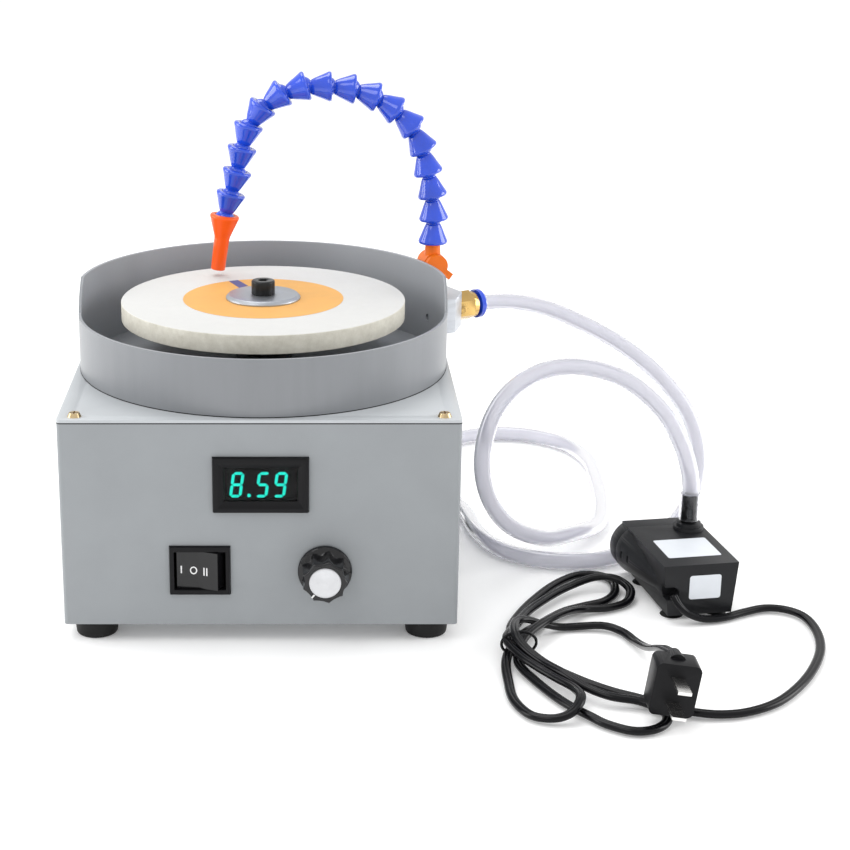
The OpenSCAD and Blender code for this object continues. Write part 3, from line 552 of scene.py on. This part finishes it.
for i, a in enumerate(LEAN):
    place = Matrix.Translation(at * MM) @ Matrix.Rotation(math.radians(-a), 4, "Y")
    if i < len(LEAN) - 1:
        name = "hose_link_%02d" % (i + 1)
        o = lathe(name + "_turned", link_profile, MATERIALS["blue_plastic"], "link_%02d" % (i + 1),
                  place, 40)
        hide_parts(name)
        at = at + PITCH * Vector((-math.sin(math.radians(a)), 0, math.cos(math.radians(a))))
    else:
        o = lathe("nozzle_turned", nozzle_profile, MATERIALS["orange_plastic"], "nozzle_body",
                  place, 48)
        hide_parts("nozzle")

# ---------------------------------------------------------------- disc label
lathe("disc_label", [(19.2, 155.02), (43, 155.02), (43, 155.14), (19.2, 155.14), (19.2, 155.02)],
      LABEL, "spindle", sides=120)
prisms("label_strip", [[(-20, 37.8), (-13.6, 22.1), (-9, 26.9), (-15, 40.2)]], 155.15, 155.22,
       STRIP, "spindle")

# ---------------------------------------------------------------- meter face
FRONT_Y = -102
panel = Matrix(((1, 0, 0, 0), (0, 0, -1, FRONT_Y * MM), (0, 1, 0, 0), (0, 0, 0, 1)))
prisms("display_panel", [[(-17.6, 77), (18.6, 77), (18.6, 94), (-17.6, 94)]], -2.59, -2.5,
       PANEL, "machine", panel)


def bar(x0, x1, c, t, g):
    """One pointed segment from x0 to x1 at height c, t thick, with a gap g at each end."""
    return [(x0 + g, c), (x0 + t / 2 + g, c + t / 2), (x1 - t / 2 - g, c + t / 2), (x1 - g, c),
            (x1 - t / 2 - g, c - t / 2), (x0 + t / 2 + g, c - t / 2)]


def digit(shape, left, low, w=6.2, h=13.5, t=1.5, g=0.12):
    """The outlines of a seven-segment digit's lit segments."""
    a, b = t / 2, w - t / 2
    parts = {"a": bar(a, b, h - a, t, g), "g": bar(a, b, h / 2, t, g), "d": bar(a, b, a, t, g)}
    for key, c, v0, v1 in (("f", a, h / 2, h - a), ("b", b, h / 2, h - a),
                           ("e", a, a, h / 2), ("c", b, a, h / 2)):
        parts[key] = [(x, y) for y, x in bar(v0, v1, c, t, g)][::-1]
    lean = math.tan(math.radians(8))
    return [[(left + x + y * lean, low + y) for x, y in parts[k]] for k in shape]


lit = digit("abcdefg", -15.5, 77.8) + digit("afgcd", -2.6, 77.8) + digit("abcdfg", 6.2, 77.8)
lit.append([(-5.4 + 0.95 * math.cos(k * math.pi / 6), 78.9 + 0.95 * math.sin(k * math.pi / 6))
            for k in range(12)])
prisms("digits", lit, -2.48, -2.4, DIGITS, "machine", panel)

# ---------------------------------------------------------------- switch marks
REST_TILT = math.radians(-12)
swing = Matrix.Translation(Vector((-30.4, -97, 39.8)) * MM) @ Matrix.Rotation(REST_TILT, 4, "Z")


def face_frame(p, q):
    """The plane of the rocker's face that runs from p to q in plan."""
    x = (Vector((q[0], q[1], 0)) - Vector((p[0], p[1], 0))).normalized()
    z = x.cross(Vector((0, 0, 1)))
    f = Matrix(((x.x, 0, z.x, p[0] * MM), (x.y, 0, z.y, p[1] * MM), (0, 1, 0, 0), (0, 0, 0, 1)))
    return swing @ f


left_face = face_frame((-10.6, -6.6), (0, -5.2))
right_face = face_frame((0, -5.2), (10.6, -6.6))
round_mark = []
for k in range(20):
    a0, a1 = 2 * math.pi * k / 20, 2 * math.pi * (k + 1) / 20
    round_mark.append([(8.5 + r * 1.85 * math.cos(a), -0.3 + r * 2.1 * math.sin(a))
                       for r, a in ((1, a0), (1, a1), (0.7, a1), (0.7, a0))])
prisms("switch_marks_left", [[(1.9, -2), (2.6, -2), (2.6, 2), (1.9, 2)]] + round_mark, 0.0, 0.06,
       MARKS, "rocker", left_face)
prisms("switch_marks_right",
       [[(x, -2.6), (x + 0.65, -2.6), (x + 0.65, 1.6), (x, 1.6)] for x in (3.0, 4.5)],
       0.0, 0.06, MARKS, "rocker", right_face)

# ---------------------------------------------------------------- speed knob
dial = panel @ Matrix.Translation(Vector((32.5, 39.5, 0)) * MM)
# (height, radius, depth of the finger hollows), round the knob's section
levels = [(0.65, 13.5, 0), (0.8, 13.7, 0), (2.2, 13.6, 0), (2.7, 13.3, 0), (3.0, 12.7, 0.3),
          (3.4, 12.2, 1.6), (4.4, 12.0, 2.3), (8, 11.9, 2.1), (12, 11.75, 1.8), (14.6, 11.6, 1.5),
          (15.6, 11.3, 1.2), (16.2, 10.8, 0.9), (16.4, 10.2, 0.6), (16.4, 8.15, 0), (15.85, 8.15, 0),
          (15.85, 3.1, 0), (4.6, 3.1, 0), (4.6, 7.0, 0), (0.65, 7.0, 0)]
HOLLOWS = 9
sides = 180
knob_verts, knob_faces = [], []
for z, r, deep in levels:
    for k in range(sides):
        t = k * HOLLOWS / sides % 1
        a = 2 * math.pi * k / sides
        rr = r - deep * (1 - (2 * t - 1) ** 2)
        knob_verts.append(dial @ Vector((rr * MM * math.cos(a), rr * MM * math.sin(a), z * MM)))
for i in range(len(levels)):
    j = (i + 1) % len(levels)
    for k in range(sides):
        k2 = (k + 1) % sides
        knob_faces.append((i * sides + k, i * sides + k2, j * sides + k2, j * sides + k))
knob = crisp(piece_from("knob_scalloped", knob_verts, knob_faces, MATERIALS["black_gloss"],
                        "speed_control"), 40)
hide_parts("speed_knob")
turn = dial @ Matrix.Rotation(math.radians(140), 4, "Z")
prisms("knob_pointer", [[(-0.4, 8.3), (0.4, 8.3), (0.4, 10.4), (-0.4, 10.4)]], 16.38, 16.46,
       MARKS, "speed_control", turn)
cap = lathe("knob_cap_spun", [(0.001, 16.9), (1.2, 16.92), (6.9, 17.0), (7.5, 16.95), (7.9, 16.7),
                              (8.0, 16.2), (8.0, 15.85), (0.001, 15.85), (0.001, 16.9)],
            MATERIALS["silver_cap"], "speed_control", dial, 72)
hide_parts("knob_cap")

# ---------------------------------------------------------------- pump
pump = Matrix.Translation(Vector((223.5, -38.8, 0)) * MM) @ Matrix.Rotation(math.radians(9.5), 4, "Z")
softened("pump_body", 0.5)
barb = [(4.3, 34.0)]
for k in range(5):
    z = 35.4 + 2.9 * k
    barb += [(4.3, z), (4.46, z + 0.3), (4.46, z + 0.7), (4.3, z + 1.9)]
barb += [(4.3, 49.9), (4.0, 50.1), (4.0, 34.0), (4.3, 34.0)]
spout = pump @ Matrix.Translation(Vector((11.4, 16.9, 0)) * MM)
lathe("barb_rings", barb, MATERIALS["black_gloss"], "machine", spout, 40)
lathe("hose_end_on_barb", [(4.56, 36), (5.35, 36), (5.5, 36.4), (5.45, 44), (5.2, 48.5), (5.0, 51.6),
                           (4.85, 51.7), (4.8, 50.6), (4.56, 50.2), (4.56, 36)],
      SLEEVE, "machine", spout, 40)


def rounded(w, h, r, n=5):
    """A rectangle that reaches w and h from its middle, with corners of radius r."""
    out = []
    for cx, cy, a0 in ((w - r, h - r, 0), (-w + r, h - r, 90), (-w + r, -h + r, 180),
                       (w - r, -h + r, 270)):
        for k in range(n + 1):
            a = math.radians(a0 + 90 * k / n)
            out.append((cx + r * math.cos(a), cy + r * math.sin(a)))
    return out


prisms("pump_label_top", [rounded(14.6, 12.6, 1.2)], 0.02, 0.14, PAPER, "machine",
       pump @ Matrix.Translation(Vector((0.6, -10.5, 30.5)) * MM))
front_face = pump @ Matrix(((1, 0, 0, 2.6 * MM), (0, 0, -1, -34 * MM), (0, 1, 0, 17.8 * MM),
                            (0, 0, 0, 1)))
prisms("pump_label_front", [rounded(8.6, 6.6, 1.4)], 0.02, 0.14, PAPER, "machine",
       front_face)

# ---------------------------------------------------------------- painted shadow in the gap under the cover
seam_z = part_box("cover")[0].z / MM
reach_x = (case_high - case_low).x / MM / 2
reach_y = (case_high - case_low).y / MM / 2
gap_shadow_out = rounded(reach_x + 0.03, reach_y + 0.03, 2)
gap_shadow_in = rounded(reach_x - 0.3, reach_y - 0.3, 1.7)
# A dark strip round the case's top edge stands for the shadow in the gap: painted shadow.
prisms("cover_gap_shadow", [[gap_shadow_out[k - 1], gap_shadow_out[k], gap_shadow_in[k], gap_shadow_in[k - 1]]
                      for k in range(len(gap_shadow_out))],
       seam_z - 0.55, seam_z, MATERIALS["black_rubber"], "machine")

# ---------------------------------------------------------------- painted contact shadow under the basin
basin_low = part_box("basin")[0].z
foot = {}  # the outer radius of the basin's bottom edge, by the angle round it
for v in nodes["basin"].data.vertices:
    p = (v.co - HOME) / MM
    if v.co.z < basin_low + 0.0003 and math.hypot(p.x, p.y) > 75:
        turned = round(math.degrees(math.atan2(p.y, p.x)), 1)
        foot[turned] = max(foot.get(turned, 0), math.hypot(p.x, p.y))
edge = [(math.cos(math.radians(a)), math.sin(math.radians(a)), r) for a, r in sorted(foot.items())]
shadow_ring_out = [(x * (r + 0.12), y * (r + 0.12)) for x, y, r in edge]
shadow_ring_in = [(x * (r - 0.6), y * (r - 0.6)) for x, y, r in edge]
# A thin black ring round the basin's foot stands for the contact shadow on the cover: painted shadow.
prisms("basin_contact_shadow", [[shadow_ring_out[k - 1], shadow_ring_out[k], shadow_ring_in[k], shadow_ring_in[k - 1]]
                      for k in range(len(edge))],
       basin_low / MM, basin_low / MM + 0.45, MATERIALS["black_rubber"], "machine")

# ---------------------------------------------------------------- cable tie
tie = []
for k in range(38):
    a = math.radians(-60 + 10 * k)
    tie.append(Vector((129.8 + (8.3 + 0.03 * k) * math.cos(a), -118.6 - 0.8 * math.sin(a) - 0.05 * k,
                       7.4 + 6.7 * math.sin(a))))
round8 = [(TIE_R * MM * math.cos(k * math.pi / 4), TIE_R * MM * math.sin(k * math.pi / 4))
          for k in range(8)]
tie_rings = sweep(smooth_path([p * MM for p in tie], 2), round8)
tie_verts = [v for r in tie_rings for v in r]
tie_faces = skin(tie_rings, 0, 8)
tie_faces += [tuple(reversed(range(8))), tuple(range(len(tie_verts) - 8, len(tie_verts)))]
tie_piece = piece_from("cable_tie", tie_verts, tie_faces, MATERIALS["black_cable"], "machine")

# ---------------------------------------------------------------- floor and light
floor = bpy.data.meshes.new("floor")
FLOOR_Z = -0.0002
floor.from_pydata([(x, y, FLOOR_Z) for x, y in ((-6, -6), (6, -6), (6, 6), (-6, 6))], [], [(0, 1, 2, 3)])
floor.materials.append(surface("pale_floor", (0.93, 0.93, 0.93), 0.7, vary=0.004, grain=3,
                                Emission_Color=(1, 1, 1, 1), Emission_Strength=0.12))
floor_object = bpy.data.objects.new("floor", floor)
scene.collection.objects.link(floor_object)

world = bpy.data.worlds.new("studio")
scene.world = world
world.use_nodes = True
backdrop = world.node_tree.nodes["Background"]
backdrop.inputs["Color"].default_value = (1, 1, 1, 1)
backdrop.inputs["Strength"].default_value = 1.0


def lamp(name, place, target, size, power):
    data = bpy.data.lights.new(name, "AREA")
    data.shape = "DISK"
    data.size = size
    data.energy = power
    o = bpy.data.objects.new(name, data)
    o.location = place
    o.rotation_euler = (Vector(target) - Vector(place)).to_track_quat("-Z", "Y").to_euler()
    scene.collection.objects.link(o)


lamp("key", (-0.7, -0.9, 1.5), (0.05, 0, 0.1), 0.9, 5)
lamp("left", (-1.25, 0.05, 0.52), (0, 0, 0.13), 0.9, 8)
lamp("right", (1.35, 0.05, 0.5), (0, 0, 0.13), 0.9, 9)
lamp("top", (-0.3, 0.6, 1.6), (0.05, 0, 0.1), 1.0, 9)
scene.view_settings.view_transform = "Standard"
